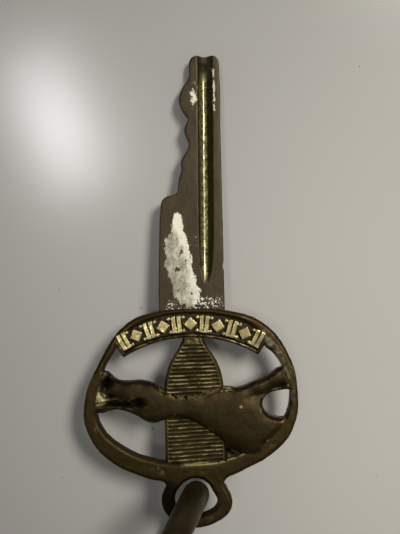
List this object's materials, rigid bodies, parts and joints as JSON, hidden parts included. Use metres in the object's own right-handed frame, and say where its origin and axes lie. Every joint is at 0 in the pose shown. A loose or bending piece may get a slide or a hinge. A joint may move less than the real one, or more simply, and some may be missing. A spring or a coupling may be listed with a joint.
{
  "type": "cylinder lock key on a ring",
  "caption": "Flat cylinder-lock key with a bitted grooved blade, an oval openwork bow in relief and a small loop, hanging on a round wire ring that swings.",
  "frame": {"origin": "on the flat back face of the shank, on the shank's centre line, 3.7 mm above the top of the bow", "axes": "+Y along the blade to its tip, +Z out of the ornamented front, +X to the blade's straight edge as seen from the front with the tip up"},
  "size_m": [0.0279, 0.076, 0.0236],
  "materials": {
    "worn_brass": "dark tarnish with remains of silvery plating and a bright worn groove",
    "dark_brass": "dark olive patina, rubbed on the edges",
    "bright_brass": "polished raised marks over a dark recess",
    "olive_brass": "dark patina, ribs rubbed bright here and there",
    "bronze_patina": "smooth brown patina, worn soft",
    "brown_wire": "smooth brown bronze wire"
  },
  "bodies": {
    "key": {"blade": "worn_brass", "bow_rim": "dark_brass", "banner": "bright_brass", "ribbed_panel": "olive_brass", "scroll": "bronze_patina"},
    "ring": {"key_ring": "brown_wire"}
  },
  "joints": [
    {"name": "ring_swing", "type": "hinge", "parent": "key", "child": "ring", "pos_m": [-0.0016, -0.0312, 0.00105], "axis": [-0.8816, 0.457, -0.1184], "range_deg": [-68, 2]}
  ]
}
